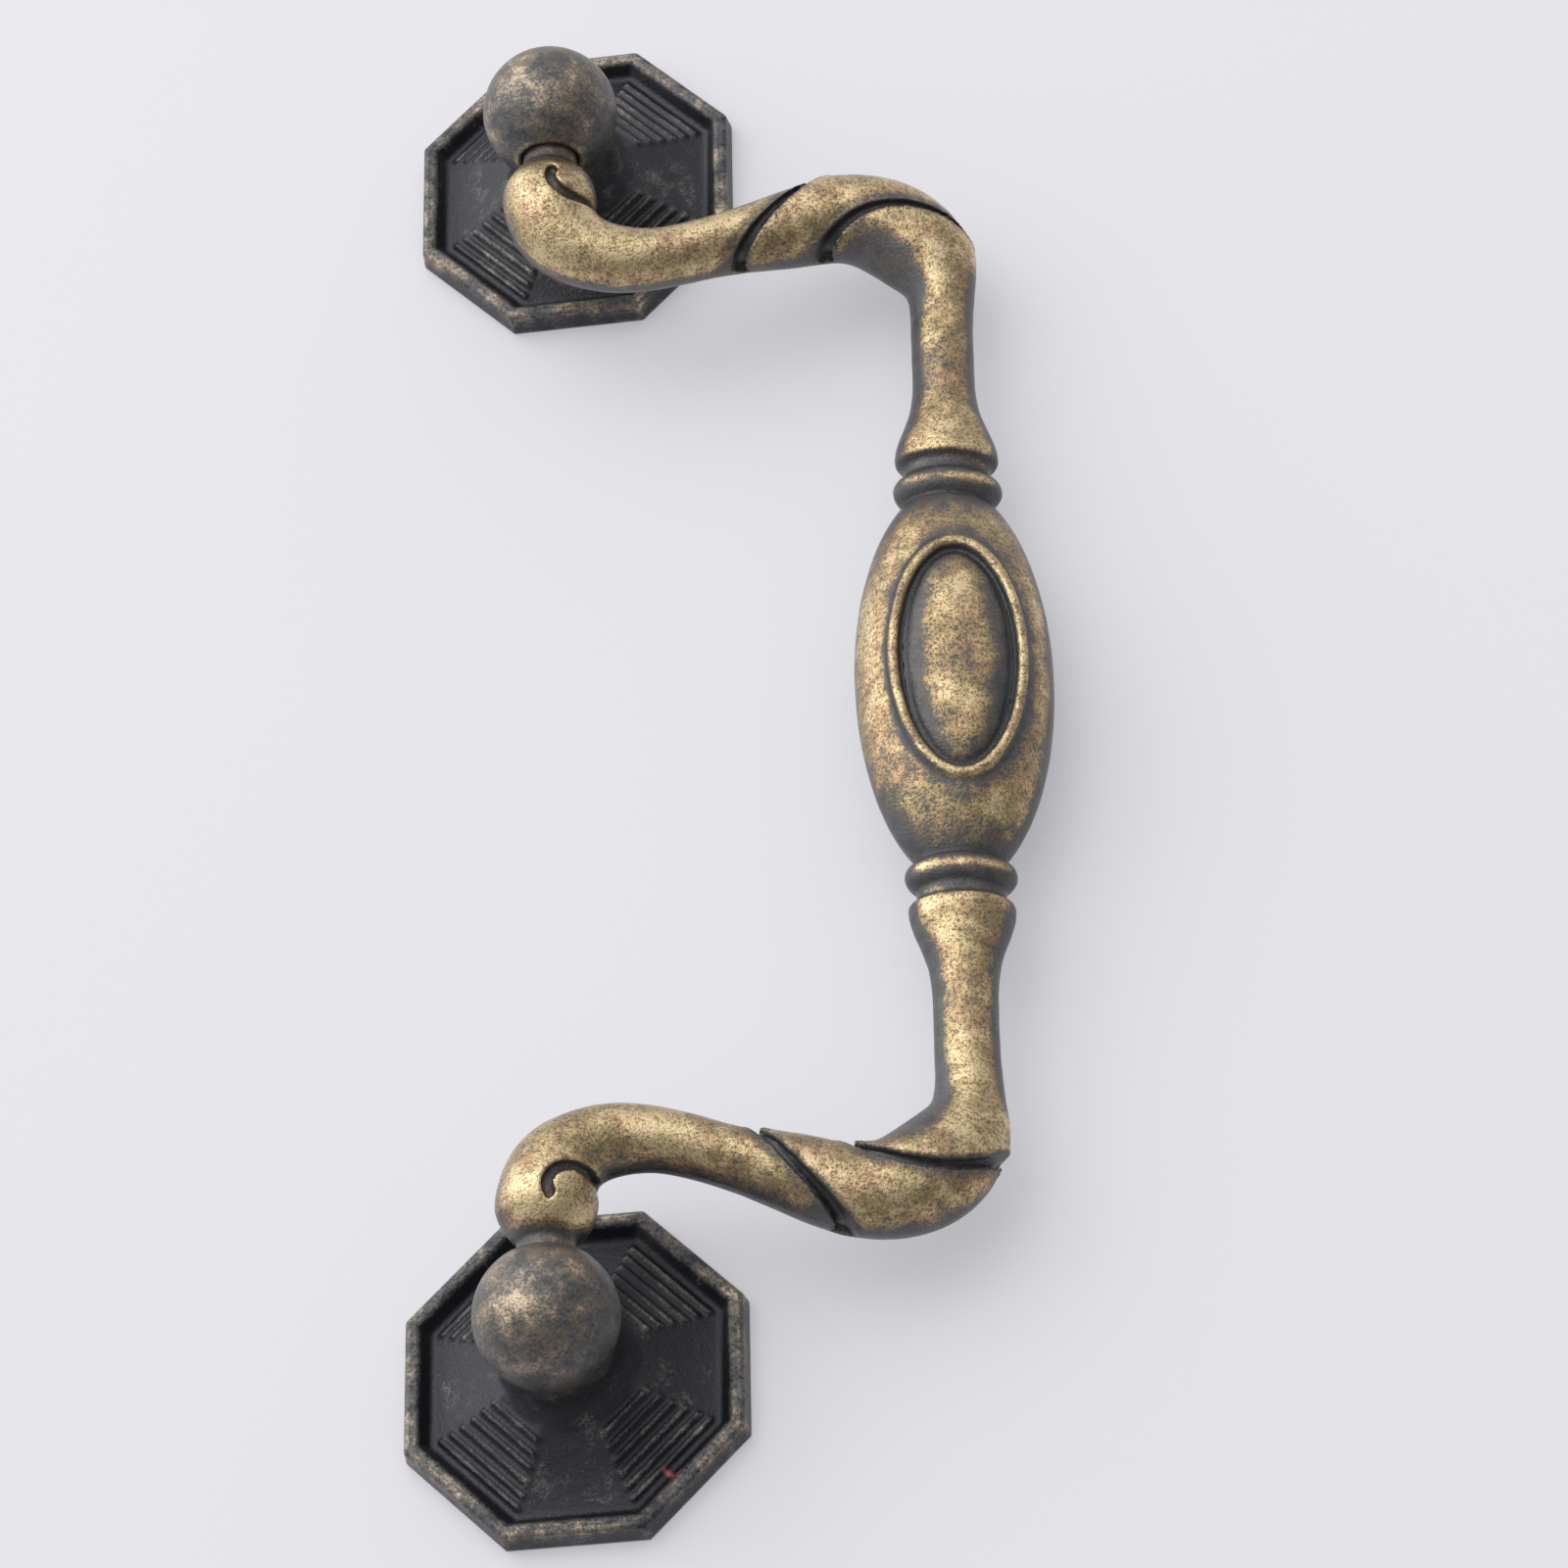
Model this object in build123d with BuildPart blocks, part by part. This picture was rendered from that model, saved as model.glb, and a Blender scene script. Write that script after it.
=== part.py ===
from build123d import *
import os
from math import asin, cos, degrees, radians, sin, sqrt, tan

# Drawer pull: two octagonal rosettes, each with a neck and a ball, and a bail that swings between them.
# Millimetres. The drawer front is the plane z = 0 and +Z points out of the drawer.
# The two screws stand on the Y axis, at equal distances from the origin.

os.makedirs("parts", exist_ok=True)

# Mounting to the drawer front
hole_spacing = 128.0
screw_hole_radius = 1.65
screw_hole_depth = 9.5

# Rosette plate
plate_flats = 31.0
rim_height = 2.6
rim_draft = 6.0
rim_crown = 1.2
rim_rounding = 0.45
sunk_depth = 1.4
sunk_wall_slope = 32.0
band_width = 0.5

# Hollow-sided pyramid inside the rim, and the ridges on its four diagonal sides
pyramid_rise = 3.3
pyramid_top = 5.8
pyramid_hollowness = 1.25
ridge_count = 6
ridge_pitch = 1.05
ridge_height = 0.36
ridge_foot_width = 0.9
ridge_crest_width = 0.3

# Neck and ball
neck_foot_radius = 6.4
neck_waist_radius = 4.85
neck_joint_radius = 5.0
ball_radius = 6.5
pivot_height = 14.4

# Cored back of the rosette, with a boss around the screw hole
core_flats = 23.0
core_top_flats = 14.5
core_depth = 1.9
boss_radius = 4.2

# Bail pins and the holes that they turn in
pin_radius = 2.6
pin_clearance = 0.08
pin_past_centre = 1.2
pin_end_gap = 0.3
pin_chamfer = 0.4
bore_mouth_chamfer = 0.35
collar_length = 1.0

# Bail grip
grip_reach = 37.3
grip_width = 18.4
grip_thickness = 12.8
grip_swell_length = 42.6
ring_width = 10.3
ring_length = 2.6
ring_rounding = 1.25
ring_place = 20.6
neck_stub_width = 8.2
rest_gap = 0.1

# Medallion on the front of the grip: a cushion in a shallow pocket, with a bead around it
bead_width = 11.9
bead_length = 24.6
bead_radius = 0.58
pocket_depth = 0.35
cushion_width = 9.7
cushion_length = 22.2
cushion_rise = 1.9

# Bail arms, from the flared lip beside the grip to the scroll beside the ball
lip_place = 23.4
lip_rounding = 0.55
elbow_radius = 9.0
slope_angle = 16.5
dip_radius = 14.0
dip_exit_angle = 15.0
wrap_radius = 6.2
scroll_radius = 4.55
scroll_thickness = 10.0
groove_width = 1.05
groove_depth = 0.9
groove_wrap = 1.5
curl_width = 1.0

# Worked-out sizes of the rosette
sides = 8
half_side_angle = 180 / sides
rim_top = plate_flats / 2 - rim_height * tan(radians(rim_draft))
sunk_top = rim_top - rim_crown
floor_height = rim_height - sunk_depth
sunk_foot = sunk_top - sunk_depth * tan(radians(sunk_wall_slope))
pyramid_foot = sunk_foot - band_width
bore_radius = pin_radius + pin_clearance

# Worked-out sizes of the bail
half_spacing = hole_spacing / 2
flatness = grip_thickness / grip_width
ball_to_collar = sqrt(ball_radius**2 - pin_radius**2)
collar_to_scroll = sqrt(scroll_radius**2 - pin_radius**2)
scroll_place = half_spacing - ball_to_collar - collar_length - collar_to_scroll
slope_sine = sin(radians(slope_angle))
slope_cosine = cos(radians(slope_angle))
exit_sine = sin(radians(dip_exit_angle))
exit_cosine = cos(radians(dip_exit_angle))
elbow_run = elbow_radius * (1 + slope_sine)
dip_run = dip_radius * (slope_sine + exit_sine)
wrap_run = wrap_radius * (1 - exit_sine)
slope_length = (grip_reach - elbow_run - dip_run - wrap_run) / slope_cosine
slope_fall = slope_length * slope_sine + dip_radius * (exit_cosine - slope_cosine)
tube_end = scroll_place - wrap_radius * exit_cosine + slope_fall - elbow_radius * slope_cosine
lean = grip_reach**2 + (grip_thickness**2 - grip_width**2) / 4
drop = pivot_height - rest_gap
drop_by_reach = drop * grip_reach
rest_sine = (drop_by_reach - sqrt(drop_by_reach**2 - lean * (drop**2 - grip_thickness**2 / 4))) / lean
rest_angle = degrees(asin(rest_sine))
resting_plane = Plane.XY.offset(pivot_height).rotated((0, rest_angle, 0))


def facet_height(distance):
    """Height of the pyramid's side at a distance from the rosette's axis."""
    climb = (pyramid_foot - distance) / (pyramid_foot - pyramid_top)
    return floor_height + pyramid_rise * climb**pyramid_hollowness


def octagon(apothem):
    """Octagon with flats along X and Y."""
    return RegularPolygon(apothem, sides, major_radius=False, rotation=half_side_angle)


# Ridges of one diagonal side, laid out along +X
with BuildPart() as ridges:
    with BuildSketch(Plane.XZ):
        for i in range(ridge_count):
            place = pyramid_foot - ridge_pitch * (i + 0.5)
            foot = facet_height(place) - ridge_height
            crest = facet_height(place) + ridge_height
            with BuildLine():
                Polyline(
                    (place - ridge_foot_width / 2, foot),
                    (place - ridge_crest_width / 2, crest),
                    (place + ridge_crest_width / 2, crest),
                    (place + ridge_foot_width / 2, foot),
                    close=True,
                )
            make_face()
    extrude(amount=plate_flats / 2, both=True)
    with BuildSketch():
        with BuildLine():
            half_fan = plate_flats * tan(radians(half_side_angle))
            Polyline((0, 0), (plate_flats, -half_fan), (plate_flats, half_fan), close=True)
        make_face()
    extrude(amount=pivot_height, mode=Mode.INTERSECT)

# Hollow left in the back of the casting
with BuildPart() as back_core:
    with BuildSketch():
        octagon(core_flats / 2)
    with BuildSketch(Plane.XY.offset(core_depth)):
        octagon(core_top_flats / 2)
    loft(ruled=True)
    Cylinder(boss_radius, 3 * core_depth, mode=Mode.SUBTRACT)


def make_rosette(side):
    """One rosette casting; side is +1 or -1 along Y, and its hole faces the other rosette."""
    base = Plane((0, side * half_spacing, 0))
    axis = Axis(base.origin, (0, 0, 1))
    with BuildPart() as rosette:
        with BuildSketch(base):
            octagon(plate_flats / 2)
        extrude(amount=rim_height, taper=rim_draft)
        with BuildSketch(base.offset(rim_height)):
            octagon(sunk_top)
        extrude(amount=-sunk_depth, taper=sunk_wall_slope, mode=Mode.SUBTRACT)
        fillet(rosette.edges().group_by(Axis.Z)[-1], rim_rounding)
        for share in (0, 0.35, 0.7, 1):
            distance = pyramid_foot + (pyramid_top - pyramid_foot) * share
            with BuildSketch(base.offset(facet_height(distance))):
                octagon(distance)
        loft()
        with Locations(base), PolarLocations(0, 4, start_angle=45):
            add(ridges.part)
        with BuildSketch(Plane(base.origin, x_dir=(1, 0, 0), z_dir=(0, -1, 0))):
            with BuildLine():
                foot_height = facet_height(neck_foot_radius)
                joint_height = pivot_height - sqrt(ball_radius**2 - neck_joint_radius**2)
                waist_height = (foot_height + joint_height) / 2
                ball_start = -degrees(asin((pivot_height - joint_height) / ball_radius))
                Polyline(
                    (0, pivot_height + ball_radius),
                    (0, floor_height),
                    (neck_foot_radius, floor_height),
                    (neck_foot_radius, foot_height),
                )
                Spline(
                    (neck_foot_radius, foot_height),
                    (neck_waist_radius, waist_height),
                    (neck_joint_radius, joint_height),
                )
                CenterArc((0, pivot_height), ball_radius, ball_start, 90 - ball_start)
            make_face()
        revolve(axis=axis)
        with Locations(base):
            add(back_core.part, mode=Mode.SUBTRACT)
        with Locations(Plane(base.origin, z_dir=(0, 0, -1))):
            Hole(screw_hole_radius, screw_hole_depth)
        pivot = base.origin + Vector(0, 0, pivot_height)
        with BuildSketch(Plane(pivot, x_dir=(0, -side, 0), z_dir=(0, 0, 1))):
            with BuildLine():
                bore_end = -pin_past_centre - pin_end_gap
                mouth_radius = bore_radius + bore_mouth_chamfer
                mouth = sqrt(ball_radius**2 - mouth_radius**2)
                Polyline(
                    (bore_end, 0),
                    (bore_end, bore_radius),
                    (mouth - bore_mouth_chamfer, bore_radius),
                    (mouth + collar_length, mouth_radius + collar_length),
                    (mouth + collar_length, 0),
                    close=True,
                )
            make_face()
        revolve(axis=Axis(pivot, (0, 1, 0)), mode=Mode.SUBTRACT)
    return rosette.part


# The grip is turned about its own axis, then flattened front to back
with BuildPart() as grip:
    with BuildSketch():
        with Locations((grip_reach, 0)):
            Ellipse(grip_width / 2, grip_swell_length / 2)
            Rectangle(neck_stub_width, 2 * (lip_place + lip_rounding))
        with Locations((grip_reach, ring_place), (grip_reach, -ring_place)):
            RectangleRounded(ring_width, ring_length, ring_rounding)
        split(bisect_by=Plane.YZ.offset(grip_reach))
    revolve(axis=Axis((grip_reach, 0, 0), (0, 1, 0)))
    scale(by=(1, 1, flatness))


def grip_front(across, along):
    """Height of the grip's front above the bail's middle plane."""
    fall = (2 * across / grip_width) ** 2 + (2 * along / grip_swell_length) ** 2
    return grip_thickness / 2 * sqrt(1 - fall)


# Medallion: the pocket is cut to a level floor, and the bead lies along its edge
bead_level = (grip_front(bead_width / 2, 0) + grip_front(0, bead_length / 2)) / 2
pocket_floor = bead_level - pocket_depth
with BuildPart() as pocket:
    with BuildSketch(Plane.XY.offset(pocket_floor)):
        with Locations((grip_reach, 0)):
            Ellipse(bead_width / 2, bead_length / 2)
    extrude(amount=grip_thickness)
with BuildSketch(Plane.XY.offset(bead_level)) as bead_oval:
    with Locations((grip_reach, 0)):
        Ellipse(bead_width / 2, bead_length / 2)
bead_path = bead_oval.sketch.face().outer_wire()
with BuildPart() as bead:
    with BuildSketch(Plane(bead_path @ 0, x_dir=(0, 0, 1), z_dir=bead_path % 0)):
        Circle(bead_radius)
    sweep(path=bead_path)
with BuildPart() as cushion:
    Sphere(cushion_width / 2)
    scale(by=(1, cushion_length / cushion_width, 2 * cushion_rise / cushion_width))

# Middle line of an arm: up the tube, round the elbow, down the slope and round into the scroll
with BuildLine():
    tube = Line((grip_reach, lip_place), (grip_reach, tube_end))
    elbow = JernArc(tube @ 1, (0, 1), elbow_radius, 90 + slope_angle)
    slope = PolarLine(elbow @ 1, slope_length, direction=elbow % 1)
    dip = JernArc(slope @ 1, slope % 1, dip_radius, -slope_angle - dip_exit_angle)
    wrap = JernArc(dip @ 1, dip % 1, wrap_radius, dip_exit_angle - 90)
    cap = Line(wrap @ 1, (0, scroll_place + collar_to_scroll))

# Stations of an arm: stretch of its line, share of that stretch, half width and half thickness
stations = [
    (tube, 0, 4.87, 3.6),
    (tube, 0.06, 4.87, 3.6),
    (tube, 0.17, 4.3, 3.3),
    (tube, 0.3, 3.42, 2.85),
    (tube, 0.52, 2.97, 2.6),
    (tube, 0.75, 2.98, 2.6),
    (elbow, 0, 3.25, 2.8),
    (elbow, 0.2, 4.3, 3.5),
    (elbow, 0.42, 4.95, 4.1),
    (elbow, 0.66, 4.75, 4.4),
    (elbow, 0.9, 4.2, 4.3),
    (slope, 0.2, 3.8, 4.0),
    (slope, 0.55, 3.05, 3.6),
    (slope, 0.9, 2.75, 3.35),
    (dip, 0.45, 3.0, 3.3),
    (dip, 1, 3.4, 3.6),
    (wrap, 0.4, 3.9, 4.2),
    (wrap, 0.7, 4.3, 4.7),
    (wrap, 1, scroll_radius, scroll_thickness / 2),
]
for share in (0.45, 0.8, 1):
    cap_radius = sqrt(scroll_radius**2 - (share * collar_to_scroll) ** 2)
    cap_bulge = (1 - share) * (scroll_thickness / 2 - scroll_radius)
    stations.append((cap, share, cap_radius, cap_radius + cap_bulge))


def arm_body(inset):
    """Bar of oval sections along the middle line, its surface set in by an inset."""
    with BuildPart() as bar:
        for stretch, share, half_width, half_thickness in stations:
            with BuildSketch(Plane(stretch @ share, x_dir=(0, 0, 1), z_dir=stretch % share)):
                Ellipse(half_thickness - inset, half_width - inset)
        loft()
    return bar.part


# What the grooves take away: the leaf's two folds, and the curl around the scroll's eye
with BuildPart() as grooves:
    with BuildSketch(Plane.XY.offset(-groove_wrap)):
        with BuildLine():
            ThreePointArc(
                (grip_reach - 20.6, scroll_place - 9.0),
                (grip_reach - 15.8, scroll_place - 2.7),
                (grip_reach - 9.7, scroll_place + 3.6),
            )
        trace(line_width=groove_width)
        with BuildLine():
            ThreePointArc(
                (grip_reach - 11.9, scroll_place - 6.7),
                (grip_reach - 3.4, scroll_place - 2.4),
                (grip_reach + 4.6, scroll_place - 5.6),
            )
        trace(line_width=groove_width)
    extrude(amount=scroll_thickness)
    with BuildSketch():
        with BuildLine():
            Spline(
                (5.6, scroll_place - 0.9),
                (4.0, scroll_place - 1.65),
                (2.1, scroll_place - 1.9),
                (0.6, scroll_place - 1.2),
                (0.0, scroll_place),
                (0.5, scroll_place + 1.2),
            )
        trace(line_width=curl_width)
    extrude(amount=scroll_thickness)
    add(arm_body(groove_depth), mode=Mode.SUBTRACT)

# One arm with its flared tube, collar and pin
with BuildPart() as arm:
    add(arm_body(0))
    fillet(arm.edges().sort_by(Axis.Y)[0], lip_rounding)
    add(grooves.part, mode=Mode.SUBTRACT)
    with BuildSketch(Plane.XZ.offset(-scroll_place)):
        Circle(pin_radius)
    extrude(amount=scroll_place - half_spacing - pin_past_centre)
    chamfer(arm.edges().sort_by(Axis.Y)[-1], pin_chamfer)

# The bail is one casting, hung at the angle where its grip lies against the drawer front
with BuildPart() as flat_bail:
    add(grip.part)
    add(pocket.part, mode=Mode.SUBTRACT)
    add(bead.part)
    with Locations((grip_reach, 0, pocket_floor)):
        add(cushion.part)
    add(arm.part)
    mirror(arm.part, about=Plane.XZ)
with BuildPart() as bail:
    with Locations(resting_plane):
        add(flat_bail.part)

upper_rosette = make_rosette(1)
lower_rosette = make_rosette(-1)

upper_rosette.label = "upper_rosette"
lower_rosette.label = "lower_rosette"
bail.part.label = "bail"

export_step(upper_rosette, "parts/upper_rosette.step")
export_step(lower_rosette, "parts/lower_rosette.step")
export_step(bail.part, "parts/bail.step")
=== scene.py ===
from types import SimpleNamespace

import bpy
import numpy as np
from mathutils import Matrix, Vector, noise as mist


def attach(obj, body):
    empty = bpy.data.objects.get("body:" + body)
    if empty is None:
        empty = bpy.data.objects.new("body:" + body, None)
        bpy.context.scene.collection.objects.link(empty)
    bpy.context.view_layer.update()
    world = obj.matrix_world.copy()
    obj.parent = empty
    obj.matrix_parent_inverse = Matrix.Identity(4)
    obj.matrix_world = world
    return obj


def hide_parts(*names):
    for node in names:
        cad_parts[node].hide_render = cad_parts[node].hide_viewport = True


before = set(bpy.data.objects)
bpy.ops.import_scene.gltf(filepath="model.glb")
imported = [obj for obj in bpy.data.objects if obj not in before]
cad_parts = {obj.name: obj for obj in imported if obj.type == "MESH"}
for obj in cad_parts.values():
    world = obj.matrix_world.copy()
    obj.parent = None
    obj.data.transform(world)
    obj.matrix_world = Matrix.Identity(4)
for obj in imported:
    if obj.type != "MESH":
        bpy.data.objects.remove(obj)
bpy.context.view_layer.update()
scene = bpy.context.scene

# Sizes and places in metres, in the pull's own frame
half_spacing = 0.064
pivot_height = 0.0144
ball_radius = 0.0065
rim_inner = 0.0138
collar_start = 0.0567
grip_reach = 0.0373
bead_width = 0.0119
bead_length = 0.0246
bead_level = 0.00505
ring_place = 0.0206

# Directions at rest: out of the bail's plane, and within it from the grip towards the pivots
rest_lean = np.radians(12.0)
outward = np.array((np.sin(rest_lean), 0, np.cos(rest_lean)))
pivotward = np.array((-np.cos(rest_lean), 0, np.sin(rest_lean)))

# Places in the bail's plane: across from the pivots' line, and along that line from the middle
first_fold = ((0.0167, 0.0443), (0.0215, 0.0506), (0.0276, 0.0569))
second_fold = ((0.0254, 0.0466), (0.0339, 0.0509), (0.0419, 0.0477))
elbow = (0.031, 0.0435)

# Corners of the fleck of paint, from the middle of the lower rosette
fleck_line = ((0.0079, -0.0096), (0.0088, -0.0103), (0.0095, -0.0101))

# Fineness of the meshes, and rounds of smoothing for soft edges and for two widths of relief
bail_voxel = 0.00022
rosette_voxel = 0.0002
bail_softening = 3
rosette_softening = 2
bail_triangles = 190000
near_rounds = 20
wide_rounds = 160

# Relief of the bail that is sculpted on, in metres
fold_dip = 0.00028
fold_rise = 0.00018
dip_reach = 0.0018
rise_reach = 0.0014
groove_fill = 0.00016
parting_step = 0.00006
unevenness = 0.00003
lumps_per_metre = 420

# Soft foot of the cushion: heights in metres, and places as shares of the bead's oval
foot_sink = 0.0002
foot_rise = 0.00095
foot_floor = 0.004
foot_curve = 1.5
foot_outer = 0.92
foot_span = 0.27
foot_inner = 0.6

# Painted shade under the edge of a fold lies this far from the fold's line, in metres
shade_offset = 0.0005

# Stain around the bead starts just outside it, as a share of its oval, and on the cushion a
# distance lengthwise counts less than one crosswise
halo_inner = 1.07
lengthwise_share = 0.66

# From and to in metres: the stretch over which a mask of the bail comes in or fades out
arm_across = (0.012, 0.016)
arm_along = (0.0405, 0.0425)
arm_above = (-0.002, 0.0005)
first_fold_end = (0.03, 0.036)
second_fold_start = (0.02, 0.024)
fold_step = (-0.0005, 0.0004)
groove_floor = (0.0005, 0.0008)
groove_walls = (0.0003, 0.00078)
fold_shade = (0.0005, 0.0014)
parting_fade = (-0.0002, 0.0001)
seam_height = (0.0001, 0.0004)
collar_along = (collar_start - 0.0006, collar_start + 0.0002)
collar_across = (0.003, 0.004)
# Painted light: the bead's halo fades out over this stretch towards the pivots' side, which faces the light
halo_side = (0.001, 0.004)
grip_end_start = (0.0145, 0.0188)
grip_end_stop = (0.0192, 0.0195)
ring_flank_start = (0.0, 0.00105)
ring_flank_stop = (0.0017, 0.0019)
elbow_reach = (0.0035, 0.0068)
straight_along = (0.041, 0.046)
straight_across = (0.029, 0.033)
tube_start = (0.0225, 0.03)
grip_stop = (0.018, 0.0195)

# The same on the medallion, as shares of the bead's oval
foot_fade = (0.88, 0.95)
cushion_side = (0.36, 0.76)
cushion_stop = (0.9, 0.97)
halo_fade = (1.08, 1.34)

# The same for the rosettes, in metres
ball_skin = (0.0002, 0.0006)
neck_height = (0.0062, 0.0098)
neck_side = (0.006, 0.0068)
rim_start = (rim_inner - 0.0002, rim_inner + 0.0004)
rim_rise = (0.0003, 0.0019)
fleck_width = (0.00012, 0.00026)

# The same for the way that a surface faces, as cosines
seam_facing = (0.2, 0.4)
medallion_facing = (0.3, 0.7)
elbow_facing = (0.2, 0.6)
pivot_facing = (-0.15, 0.4)
straight_facing = (-0.25, 0.18)
arm_facing = (-0.5, 0.55)
back_facing = (0.35, 0.95)
ball_facing = (0.3, 0.95)

# The same for relief in metres: how far a place stands proud, or lies hollow, to count
bail_proud = (0.00001, 0.00007)
rosette_proud = (0.00001, 0.00006)
wide_proud = (0.0001, 0.0004)
bail_hollow = (0.000004, 0.00005)
rosette_hollow = (0.000004, 0.00004)
wide_hollow = (0.00003, 0.0003)
crevice_depth = (0.000015, 0.00008)

# Table top, light and camera: metres, with the camera's turn in degrees and its lens in millimetres
table_reach = 3.0
table_drop = 0.00005
light_target = (0.02, 0, 0)
bright_side = (-0.55, 0.75, 0.35)
sky_spread = (-0.65, 0.85)
sky_strength = (0.28, 0.95)
camera_place = (0.09565, -0.28345, 0.47996)
camera_turn = (29.6536, 9.5727, -0.968)
camera_lens = 138.46
camera_sensor = 36


def ease(values, low, high):
    """0 below low, 1 above high, and smooth between them."""
    share = np.clip((values - low) / (high - low), 0, 1)
    return share * share * (3 - 2 * share)


def fade(values, low, high):
    """1 below low, 0 above high, and smooth between them."""
    return ease(-values, -high, -low)


def settle(piece):
    """Give a piece the mesh that its modifiers make of it."""
    bpy.context.view_layer.update()
    graph = bpy.context.evaluated_depsgraph_get()
    shaped = piece.evaluated_get(graph)
    mesh = bpy.data.meshes.new_from_object(shaped, preserve_all_data_layers=True, depsgraph=graph)
    piece.modifiers.clear()
    piece.data = mesh
    mesh.polygons.foreach_set("use_smooth", np.ones(len(mesh.polygons), bool))


def thin_out(piece, most):
    """Leave fewer triangles where the surface is plain, with the fields kept."""
    piece.data.calc_loop_triangles()
    fewer = piece.modifiers.new("fewer", "DECIMATE")
    fewer.ratio = most / len(piece.data.loop_triangles)
    settle(piece)


def casting(node, body, voxel, rounds):
    """Fine copy of a CAD node with the soft edges of a casting, shown in the node's place."""
    piece = bpy.data.objects.new(node + "_casting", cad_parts[node].data.copy())
    scene.collection.objects.link(piece)
    fine = piece.modifiers.new("fine", "REMESH")
    fine.mode = "VOXEL"
    fine.voxel_size = voxel
    soften = piece.modifiers.new("soften", "SMOOTH")
    soften.factor = 0.5
    soften.iterations = rounds
    settle(piece)
    piece.data.materials.clear()
    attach(piece, body)
    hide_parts(node)
    return piece


def read_vectors(items, key):
    """One row for each item."""
    values = np.empty(3 * len(items), np.float32)
    items.foreach_get(key, values)
    return values.reshape(-1, 3).astype(float)


def read_points(mesh):
    return read_vectors(mesh.vertices, "co")


def read_normals(mesh):
    return read_vectors(mesh.vertex_normals, "vector")


def relief(mesh, points, normals, rounds):
    """How far each point stands proud of its smoothed surroundings; hollows are negative."""
    ends = np.empty(2 * len(mesh.edges), np.int32)
    mesh.edges.foreach_get("vertices", ends)
    ends = ends.reshape(-1, 2)
    here = np.concatenate([ends[:, 0], ends[:, 1]])
    there = np.concatenate([ends[:, 1], ends[:, 0]])
    count = np.bincount(here, minlength=len(points))
    moved = points.copy()
    for _ in range(rounds):
        around = [np.bincount(here, moved[there, axis], len(points)) / count for axis in range(3)]
        moved = (moved + np.stack(around, 1)) / 2
    return ((points - moved) * normals).sum(1)


def surface(mesh):
    """Points and normals, and how far each point stands proud of its near and wide surroundings."""
    points = read_points(mesh)
    normals = read_normals(mesh)
    near = relief(mesh, points, normals, near_rounds)
    wide = relief(mesh, points, normals, wide_rounds)
    return points, normals, near, wide


def keep_field(mesh, name, values):
    """Store one value between 0 and 1 for each point, for the materials to read."""
    field = mesh.attributes.new(name, "FLOAT", "POINT")
    field.data.foreach_set("value", np.clip(values, 0, 1).astype(np.float32))


def arc_side(across, along, start, middle, end):
    """Signed distance of points from the circle through three points; inside it is negative."""
    (ax, ay), (bx, by), (cx, cy) = start, middle, end
    d = 2 * (ax * (by - cy) + bx * (cy - ay) + cx * (ay - by))
    a2, b2, c2 = ax * ax + ay * ay, bx * bx + by * by, cx * cx + cy * cy
    x = (a2 * (by - cy) + b2 * (cy - ay) + c2 * (ay - by)) / d
    y = (a2 * (cx - bx) + b2 * (ax - cx) + c2 * (bx - ax)) / d
    return np.hypot(across - x, along - y) - np.hypot(ax - x, ay - y)


def line_distance(places, start, end):
    """Distance of points in a plane from the straight line between two ends."""
    run = np.subtract(end, start)
    share = np.clip((places - start) @ run / (run @ run), 0, 1)
    return np.linalg.norm(places - start - share[:, None] * run, axis=1)


def bead_oval(across, along):
    """Size of the oval through each point, as a share of the bead's oval."""
    return np.hypot((across - grip_reach) / (bead_width / 2), along / (bead_length / 2))


def bail_layout(points):
    """Where points lie on the bail: in and above its plane, beside the folds and on the medallion."""
    height = points[:, 2] - pivot_height
    across = points[:, 0] * np.cos(rest_lean) - height * np.sin(rest_lean)
    above = points[:, 0] * np.sin(rest_lean) + height * np.cos(rest_lean)
    along = abs(points[:, 1])
    arm = ease(across, *arm_across) * ease(along, *arm_along) * ease(above, *arm_above)
    return SimpleNamespace(
        across=across,
        along=along,
        above=above,
        arm=arm,
        first=arc_side(across, along, *first_fold),
        second=arc_side(across, along, *second_fold),
        first_arm=arm * fade(across, *first_fold_end),
        second_arm=arm * ease(across, *second_fold_start),
        oval=bead_oval(across, along),
    )


def fold(side, share):
    """Lift beside a fold: a leaf dips where it goes under, and rises at the edge that lies over it."""
    under = -fold_dip * np.exp(np.minimum(side, 0) / dip_reach)
    over = fold_rise * np.exp(-np.maximum(side, 0) / rise_reach)
    return (under + (over - under) * ease(side, *fold_step)) * share


def beside_folds(layout, offset, stretch):
    """1 near a line that runs along each fold, at an offset from its middle."""
    first = fade(abs(layout.first - offset), *stretch) * layout.first_arm
    second = fade(abs(layout.second - offset), *stretch) * layout.second_arm
    return np.maximum(first, second)


def sculpt_bail(mesh, layout):
    """Overlap the arms' leaves, step the mould's halves and give the cushion a soft foot."""
    points = read_points(mesh)
    lift = fold(-layout.first, layout.first_arm) + fold(-layout.second, layout.second_arm)
    floors = [fade(abs(side), *groove_floor) for side in (layout.first, layout.second)]
    lift += groove_fill * np.maximum(*floors) * layout.arm
    lift += np.array([mist.noise(Vector(p) * lumps_per_metre) for p in points]) * unevenness
    lift -= parting_step * fade(layout.above, *parting_fade)
    rise = np.clip((foot_outer - layout.oval) / foot_span, 0, 1) ** foot_curve
    foot = bead_level - foot_sink + foot_rise * rise
    on_foot = fade(layout.oval, *foot_fade) * (layout.oval > foot_inner) * (layout.above > foot_floor)
    lift += np.maximum(foot - layout.above, 0) * on_foot
    moved = points + read_normals(mesh) * lift[:, None]
    mesh.vertices.foreach_set("co", moved.astype(np.float32).ravel())
    mesh.update()


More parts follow.
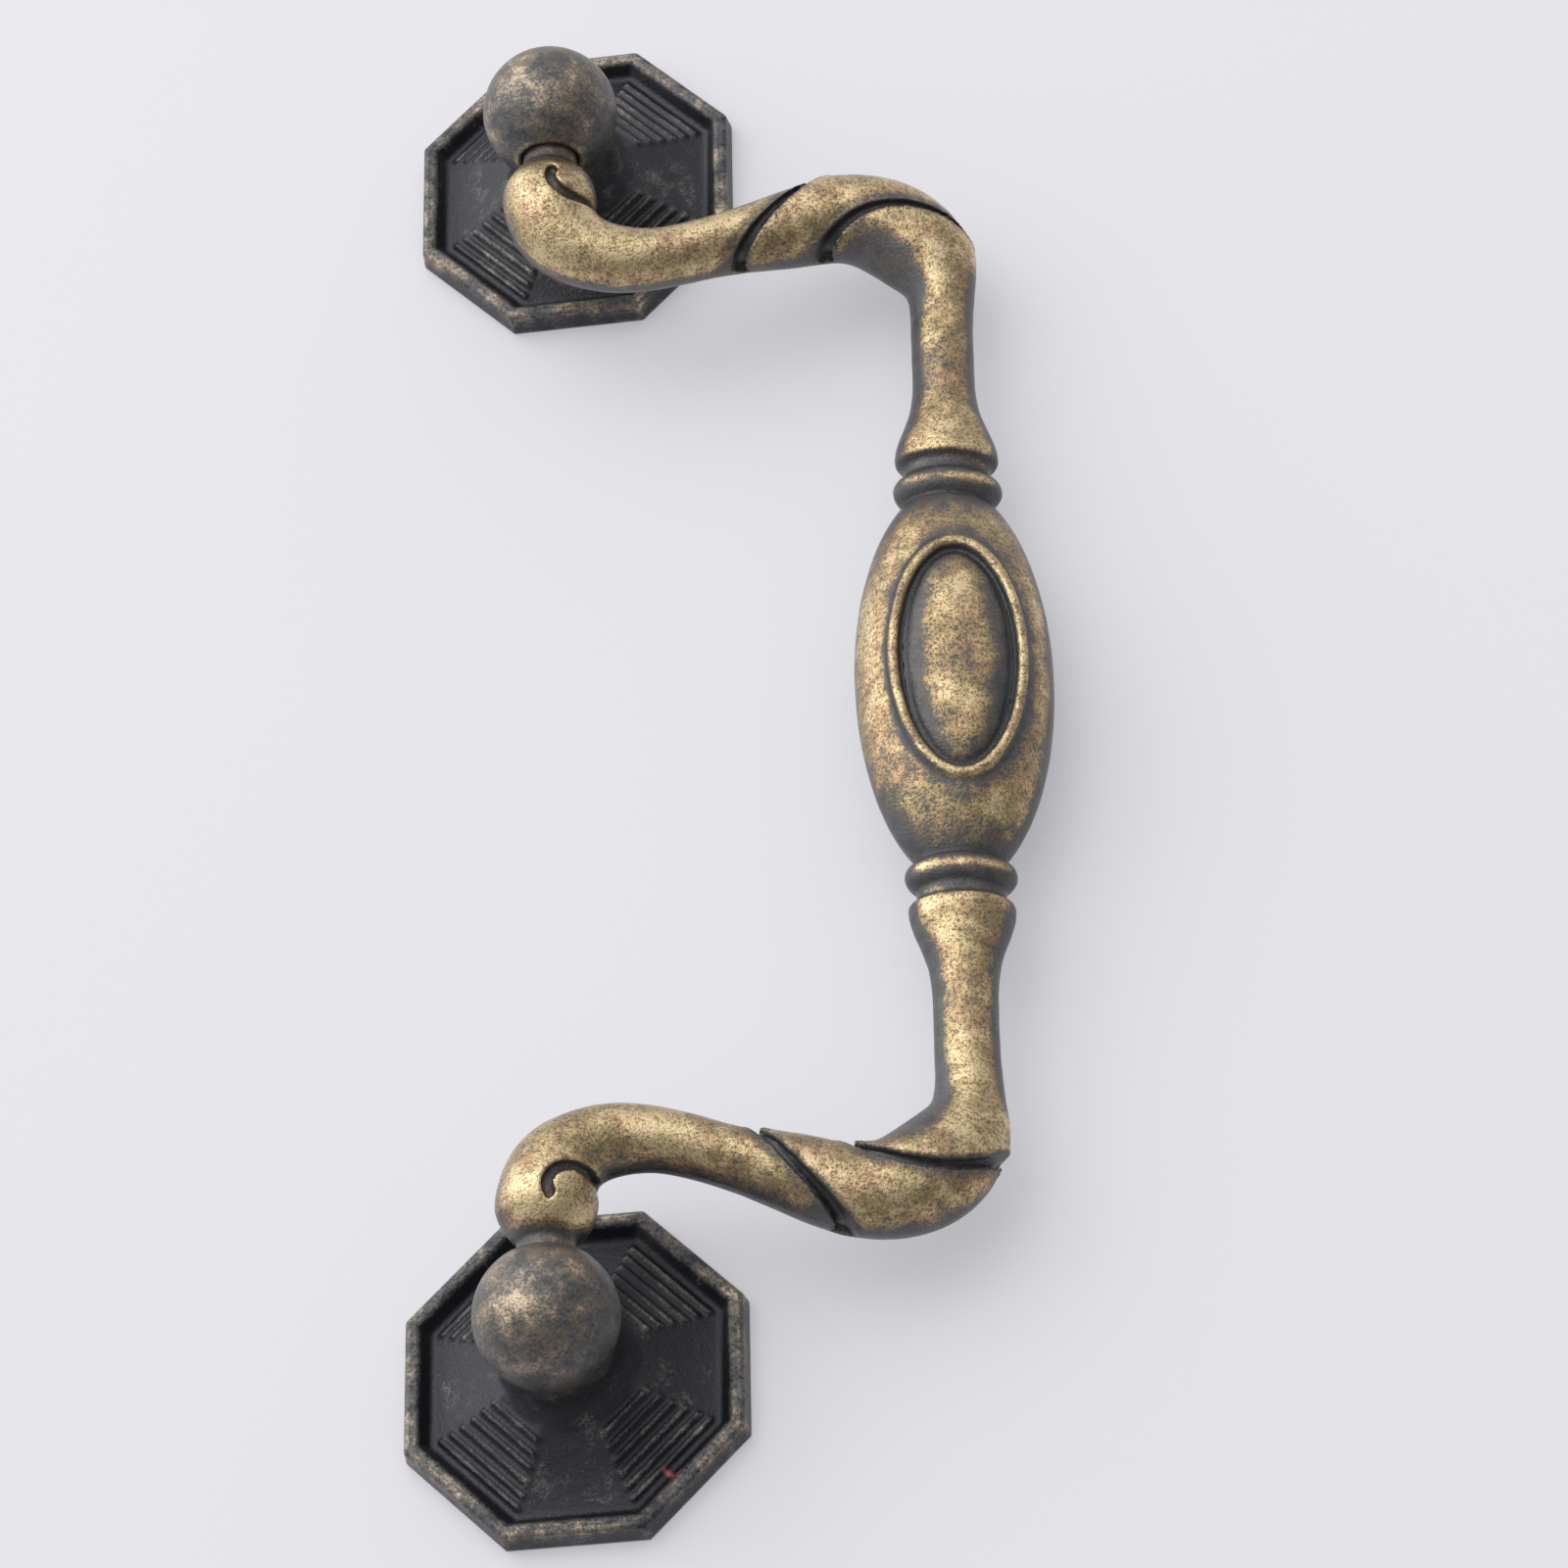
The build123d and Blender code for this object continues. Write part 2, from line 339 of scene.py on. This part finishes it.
def medallion_stain_and_lit_side(layout):
    """Stain on the cushion's sides and around the bead, with the bead's stain painted lighter on the
    pivots' side, where the light falls.
    """
    long_oval = bead_oval(layout.across, layout.along * lengthwise_share)
    cushion_foot = ease(long_oval, *cushion_side) * fade(layout.oval, *cushion_stop)
    bead_halo = fade(layout.oval, *halo_fade) * (layout.oval > halo_inner)
    # Painted light: less stain on the pivots' side of the bead, the side that the light falls on
    bead_halo *= 1 - 0.7 * ease(grip_reach - layout.across, *halo_side)
    return 0.68 * cushion_foot + 0.42 * bead_halo


def turned_stain(layout):
    """Stain on the ends of the grip, the flanks of the rings and the collars."""
    grip_end = ease(layout.along, *grip_end_start) * fade(layout.along, *grip_end_stop)
    from_ring = abs(layout.along - ring_place)
    ring_flank = ease(from_ring, *ring_flank_start) * fade(from_ring, *ring_flank_stop)
    collar = ease(layout.along, *collar_along) * fade(layout.across, *collar_across)
    return 0.5 * grip_end + ring_flank + 0.45 * collar


def arm_stain_and_shade(layout, groove, to_middle, to_pivots):
    """Stain inside the elbows, painted shade under the edges of the folds, and stain with painted shadow in
    the grooves.
    """
    from_elbow = np.hypot(layout.across - elbow[0], layout.along - elbow[1])
    inner_side = ease(0.7 * to_middle + 0.7 * to_pivots, *elbow_facing)
    inner_elbow = fade(from_elbow, *elbow_reach) * inner_side
    # Painted shade: a band under the edge of each fold
    shade_under_edge = beside_folds(layout, shade_offset, fold_shade)
    return 0.7 * inner_elbow + 0.35 * shade_under_edge + 0.8 * groove


def rubbed_share(layout, facing, to_middle, to_pivots):
    """How far each side is rubbed bare: the front most, the back less and the flanks least."""
    straight = fade(layout.along, *straight_along) * ease(layout.across, *straight_across)
    on_grip = fade(layout.along, *grip_stop)
    edge = 0.62 + 0.1 * ease(layout.along, *tube_start) - 0.16 * on_grip
    edge += 0.16 * on_grip * ease(to_pivots, *pivot_facing)
    rubbed_straight = 0.93 * ease(facing - edge, *straight_facing)
    rubbed_arm = ease(facing + 0.2 * to_middle, *arm_facing)
    rubbed_back = 0.8 * ease(-facing, *back_facing)
    return np.maximum(straight * rubbed_straight + (1 - straight) * rubbed_arm, rubbed_back)


def bail_fields(mesh, layout):
    """Fields that the stain, the painted shade and the painted light follow: proud places, crevices,
    hollows and the sides that are rubbed.
    """
    points, normals, near, wide = surface(mesh)
    facing = normals @ outward
    to_pivots = normals @ pivotward
    to_middle = -np.sign(points[:, 1]) * normals[:, 1]
    seam = 0.8 * fade(abs(layout.above), *seam_height) * fade(abs(facing), *seam_facing)
    # The fold grooves: stain, and a dark line that is partly painted shadow at the step's base
    groove = beside_folds(layout, 0, groove_walls)
    # Darkening from stain in hollows, with painted shade under the fold edges and in the grooves, and a
    # painted lighter side on the bead's halo
    stain = 0.35 * ease(-near, *bail_hollow) + 0.25 * ease(-wide, *wide_hollow)
    stain += medallion_stain_and_lit_side(layout) * ease(facing, *medallion_facing)
    stain += turned_stain(layout)
    stain += arm_stain_and_shade(layout, groove, to_middle, to_pivots)
    keep_field(mesh, "proud", 0.6 * ease(near, *bail_proud) + 0.5 * ease(wide, *wide_proud))
    keep_field(mesh, "crevice", np.maximum.reduce((ease(-near, *crevice_depth), seam, groove)))
    keep_field(mesh, "hollow", stain)
    keep_field(mesh, "front", rubbed_share(layout, facing, to_middle, to_pivots))


def rosette_fields(mesh, middle):
    """Fields that the stain follows: ball and neck, rim, and proud and hollow places."""
    points, normals, near, wide = surface(mesh)
    beside = points - np.array((0, middle, 0))
    height = points[:, 2]
    square = abs(beside[:, :2]).max(1)
    diamond = abs(beside[:, :2]).sum(1) / np.sqrt(2)
    octagon = np.maximum(square, diamond)
    from_ball = np.linalg.norm(beside - np.array((0, 0, pivot_height)), axis=1)
    ball = fade(abs(from_ball - ball_radius), *ball_skin)
    ball *= 0.6 + 0.4 * ease(normals[:, 2], *ball_facing)
    neck = 0.85 * ease(height, *neck_height) * fade(octagon, *neck_side)
    keep_field(mesh, "ball", np.maximum(ball, neck))
    keep_field(mesh, "rim", ease(octagon, *rim_start) * ease(height, *rim_rise))
    keep_field(mesh, "proud", 0.7 * ease(near, *rosette_proud) + 0.3 * ease(wide, *wide_proud))
    keep_field(mesh, "hollow", 0.7 * ease(-near, *rosette_hollow) + 0.5 * ease(-wide, *wide_hollow))


def fleck_field(mesh, middle):
    """A fleck of red paint by the rim."""
    beside = read_points(mesh)[:, :2] - np.array((0, middle))
    away = [line_distance(beside, start, end) for start, end in zip(fleck_line, fleck_line[1:])]
    keep_field(mesh, "fleck", fade(np.minimum(*away), *fleck_width))


def put(tree, kind, sockets=None, **settings):
    """Add a shader node with its settings, and link or set its sockets."""
    made = tree.nodes.new(kind)
    for key, value in settings.items():
        setattr(made, key, value)
    for key, value in (sockets or {}).items():
        if isinstance(value, bpy.types.NodeSocket):
            tree.links.new(value, made.inputs[key])
        else:
            made.inputs[key].default_value = value
    return made


def calc(tree, operation, *values):
    return put(tree, "ShaderNodeMath", dict(enumerate(values)), operation=operation).outputs[0]


def weigh(tree, start, *pairs):
    """start plus the sum of each value times its weight."""
    total = start
    for value, weight in pairs:
        total = calc(tree, "MULTIPLY_ADD", value, weight, total)
    return total


def spread(tree, value, low, high, to_low=0.0, to_high=1.0):
    sockets = {0: value, 1: low, 2: high, 3: to_low, 4: to_high}
    return put(tree, "ShaderNodeMapRange", sockets, interpolation_type="SMOOTHSTEP").outputs[0]


def tint(tree, factor, under, over):
    return put(tree, "ShaderNodeMix", {0: factor, 6: under, 7: over}, data_type="RGBA").outputs[2]


def noise(tree, place, scale, detail, rough):
    sockets = {"Vector": place, "Scale": scale, "Detail": detail, "Roughness": rough}
    return put(tree, "ShaderNodeTexNoise", sockets).outputs["Fac"]


def field_of(tree, name):
    return put(tree, "ShaderNodeAttribute", attribute_name=name).outputs["Fac"]


def new_material(name):
    material = bpy.data.materials.new(name)
    material.use_nodes = True
    tree = material.node_tree
    shader = tree.nodes["Principled BSDF"]
    place = put(tree, "ShaderNodeTexCoord").outputs["Object"]
    return material, tree, shader, place


def cast_texture(tree, place, broad_scale, patch_scale):
    """Noise at four scales per metre, from broad patches to the grain of the metal."""
    return SimpleNamespace(
        broad=noise(tree, place, broad_scale, 3, 0.6),
        patch=noise(tree, place, patch_scale, 4, 0.7),
        speck=noise(tree, place, 3300, 3, 0.7),
        grain=noise(tree, place, 7600, 2, 0.6),
    )


def pits_of(tree, texture, shallow):
    """Fine pits that hold the stain."""
    fine = weigh(tree, 0.0, (texture.speck, 0.7), (texture.grain, 0.3))
    return spread(tree, fine, 0.36, shallow, 0.95, 0.0)


def mottle_of(tree, texture, least):
    """Unevenness of the stain."""
    mixed = weigh(tree, 0.0, (texture.patch, 0.6), (texture.speck, 0.4))
    return spread(tree, mixed, 0.38, 0.62, least, 1.0)


def finish_metal(tree, shader, texture, colour, rubbed, metallic, roughness, specular, bump):
    """Wire up the shader: metallic from stained to rubbed, roughness by wear and grain, and a cast skin."""
    plain, by_wear, by_grain = roughness
    strength, distance = bump
    rough = weigh(tree, plain, (rubbed, by_wear), (texture.grain, by_grain))
    height = weigh(tree, 0.0, (texture.patch, 0.6), (texture.speck, 0.6), (texture.grain, 0.25))
    skin = put(tree, "ShaderNodeBump", {"Strength": strength, "Distance": distance, "Height": height})
    tree.links.new(colour, shader.inputs["Base Color"])
    tree.links.new(spread(tree, rubbed, 0, 1, *metallic), shader.inputs["Metallic"])
    tree.links.new(rough, shader.inputs["Roughness"])
    tree.links.new(skin.outputs[0], shader.inputs["Normal"])
    shader.inputs["Specular IOR Level"].default_value = specular


def aged_brass():
    """Brass under a dark stain that was rubbed off the raised places; the darkening carries painted shade
    from the bail's fields, and the palest brass is partly painted glints.
    """
    stain_colours = (0.048, 0.048, 0.052, 1), (0.088, 0.086, 0.087, 1)
    # Near black of crevices and seams, partly painted shadow along the fold grooves
    crevice_colour = (0.036, 0.036, 0.037, 1)
    brown_colour = (0.11, 0.088, 0.068, 1)
    gold_colours = (0.41, 0.264, 0.142, 1), (0.39, 0.3, 0.142, 1)
    pale_and_glint_colour = (0.68, 0.53, 0.315, 1)
    material, tree, shader, place = new_material("aged_brass")
    texture = cast_texture(tree, place, 170, 640)
    bare = weigh(
        tree, -4.4,
        (field_of(tree, "proud"), 0.2),
        (field_of(tree, "front"), 2.5),
        (field_of(tree, "hollow"), -2.4),
        (texture.broad, 2.7),
        (texture.patch, 2.6),
        (pits_of(tree, texture, 0.54), -1.25),
    )
    rubbed = spread(tree, bare, -0.5, 0.45)
    hue = spread(tree, noise(tree, place, 330, 2, 0.5), 0.35, 0.65)
    colour = tint(tree, mottle_of(tree, texture, 0.0), *stain_colours)
    # Crevices, seams and fold grooves go near black, partly as painted shadow in the grooves
    colour = tint(tree, field_of(tree, "crevice"), colour, crevice_colour)
    colour = tint(tree, spread(tree, bare, -1.6, -0.05), colour, brown_colour)
    colour = tint(tree, rubbed, colour, tint(tree, hue, *gold_colours))
    # Palest brass where most rubbed, partly painted glints and highlights
    colour = tint(tree, spread(tree, bare, 0.35, 1.05), colour, pale_and_glint_colour)
    finish_metal(
        tree, shader, texture, colour, rubbed,
        metallic=(0.3, 0.95), roughness=(0.25, -0.08, 0.12), specular=0.72, bump=(0.65, 0.00022),
    )
    return material


def dark_patina():
    """Nearly black stain, rubbed to brown brass on the rim and in patches on the ball, with pale dust and
    pale brass that is partly painted highlights.
    """
    stain_colours = (0.011, 0.012, 0.017, 1), (0.068, 0.065, 0.063, 1)
    grey_colour = (0.092, 0.086, 0.081, 1)
    brown_colour = (0.25, 0.202, 0.153, 1)
    pale_and_glint_colour = (0.55, 0.44, 0.3, 1)
    dust_colour = (0.32, 0.29, 0.24, 1)
    paint_colour = (0.34, 0.085, 0.095, 1)
    material, tree, shader, place = new_material("dark_patina")
    texture = cast_texture(tree, place, 230, 680)
    ball = field_of(tree, "ball")
    bare = weigh(
        tree, -3.3,
        (field_of(tree, "rim"), 0.32),
        (ball, 0.98),
        (field_of(tree, "hollow"), -0.5),
        (field_of(tree, "proud"), 0.65),
        (texture.broad, 3.0),
        (texture.patch, 2.3),
        (pits_of(tree, texture, 0.56), -0.8),
    )
    rubbed = spread(tree, bare, 0.0, 0.55)
    specks = spread(tree, weigh(tree, 0.0, (texture.speck, 0.4), (texture.grain, 0.6)), 0.62, 0.69)
    dust = calc(tree, "MULTIPLY", specks, spread(tree, texture.broad, 0.4, 0.6))
    on_ball = calc(tree, "MULTIPLY", ball, mottle_of(tree, texture, 0.5))
    colour = tint(tree, on_ball, *stain_colours)
    colour = tint(tree, spread(tree, bare, -0.7, 0.1), colour, grey_colour)
    colour = tint(tree, rubbed, colour, brown_colour)
    # Palest brass where most rubbed, partly painted highlights
    colour = tint(tree, spread(tree, bare, 0.45, 1.1), colour, pale_and_glint_colour)
    colour = tint(tree, dust, colour, dust_colour)
    colour = tint(tree, field_of(tree, "fleck"), colour, paint_colour)
    finish_metal(
        tree, shader, texture, colour, rubbed,
        metallic=(0.25, 0.92), roughness=(0.27, -0.02, 0.16), specular=0.58, bump=(0.6, 0.0002),
    )
    return material


def pale_top():
    """Smooth pale board with a painted glow that lightens the shadows on it, as a lit studio table does."""
    pale_colours = (0.424, 0.42, 0.436, 1), (0.436, 0.432, 0.448, 1)
    material, tree, shader, place = new_material("table_top")
    colour = tint(tree, noise(tree, place, 9, 2, 0.5), *pale_colours)
    tree.links.new(colour, shader.inputs["Base Color"])
    shader.inputs["Roughness"].default_value = 0.55
    shader.inputs["Specular IOR Level"].default_value = 0.2
    # Painted glow: the board gives off light of its own to lighten the shadows on it
    shader.inputs["Emission Color"].default_value = (0.95, 0.945, 1.0, 1)
    shader.inputs["Emission Strength"].default_value = 0.335
    return material


def table_top():
    """Wide board just under the pull."""
    sides = ((-1, -1), (1, -1), (1, 1), (-1, 1))
    corners = [(x * table_reach, y * table_reach, 0) for x, y in sides]
    mesh = bpy.data.meshes.new("table_top")
    mesh.from_pydata(corners, [], [(0, 1, 2, 3)])
    mesh.materials.append(pale_top())
    floor = bpy.data.objects.new("table_top", mesh)
    scene.collection.objects.link(floor)
    floor.location.z = -table_drop


def soft_light(name, place, size, power):
    """Round area light, in metres and watts, that looks at the pull."""
    lamp = bpy.data.lights.new(name, "AREA")
    lamp.shape = "DISK"
    lamp.size = size
    lamp.energy = power
    holder = bpy.data.objects.new(name, lamp)
    scene.collection.objects.link(holder)
    holder.location = place
    holder.rotation_mode = "QUATERNION"
    holder.rotation_quaternion = (Vector(light_target) - Vector(place)).to_track_quat("-Z", "Y")


def studio_sky():
    """Pale surroundings with one brighter side."""
    world = bpy.data.worlds.new("studio")
    scene.world = world
    world.use_nodes = True
    tree = world.node_tree
    sky = tree.nodes["Background"]
    sky.inputs["Color"].default_value = (0.96, 0.97, 1.0, 1)
    direction = put(tree, "ShaderNodeTexCoord").outputs["Generated"]
    toward = put(tree, "ShaderNodeVectorMath", {0: direction, 1: bright_side}, operation="DOT_PRODUCT")
    strength = spread(tree, toward.outputs["Value"], *sky_spread, *sky_strength)
    tree.links.new(strength, sky.inputs["Strength"])


def photo_camera():
    """Camera at the photograph's place."""
    view = bpy.data.cameras.new("camera")
    view.sensor_width = camera_sensor
    view.lens = camera_lens
    view.clip_start = 0.01
    view.clip_end = 20
    camera = bpy.data.objects.new("camera", view)
    scene.collection.objects.link(camera)
    camera.rotation_euler = np.radians(camera_turn)
    camera.location = camera_place
    scene.camera = camera


# The three castings
bail = casting("bail", "bail", bail_voxel, bail_softening)
upper = casting("upper_rosette", "rosettes", rosette_voxel, rosette_softening)
lower = casting("lower_rosette", "rosettes", rosette_voxel, rosette_softening)
layout = bail_layout(read_points(bail.data))
sculpt_bail(bail.data, layout)
bail_fields(bail.data, layout)
thin_out(bail, bail_triangles)
rosette_fields(upper.data, half_spacing)
rosette_fields(lower.data, -half_spacing)
fleck_field(lower.data, -half_spacing)
brass = aged_brass()
patina = dark_patina()
bail.data.materials.append(brass)
for piece in (upper, lower):
    piece.data.materials.append(patina)

# The studio
table_top()
soft_light("side", (-0.85, 0.4, 0.4), size=1.1, power=3.6)
soft_light("key", (-0.4, 0.5, 0.85), size=1.0, power=3.1)
soft_light("top", (0.0, 0.1, 1.3), size=1.6, power=3.0)
studio_sky()
photo_camera()
scene.view_settings.view_transform = "Standard"
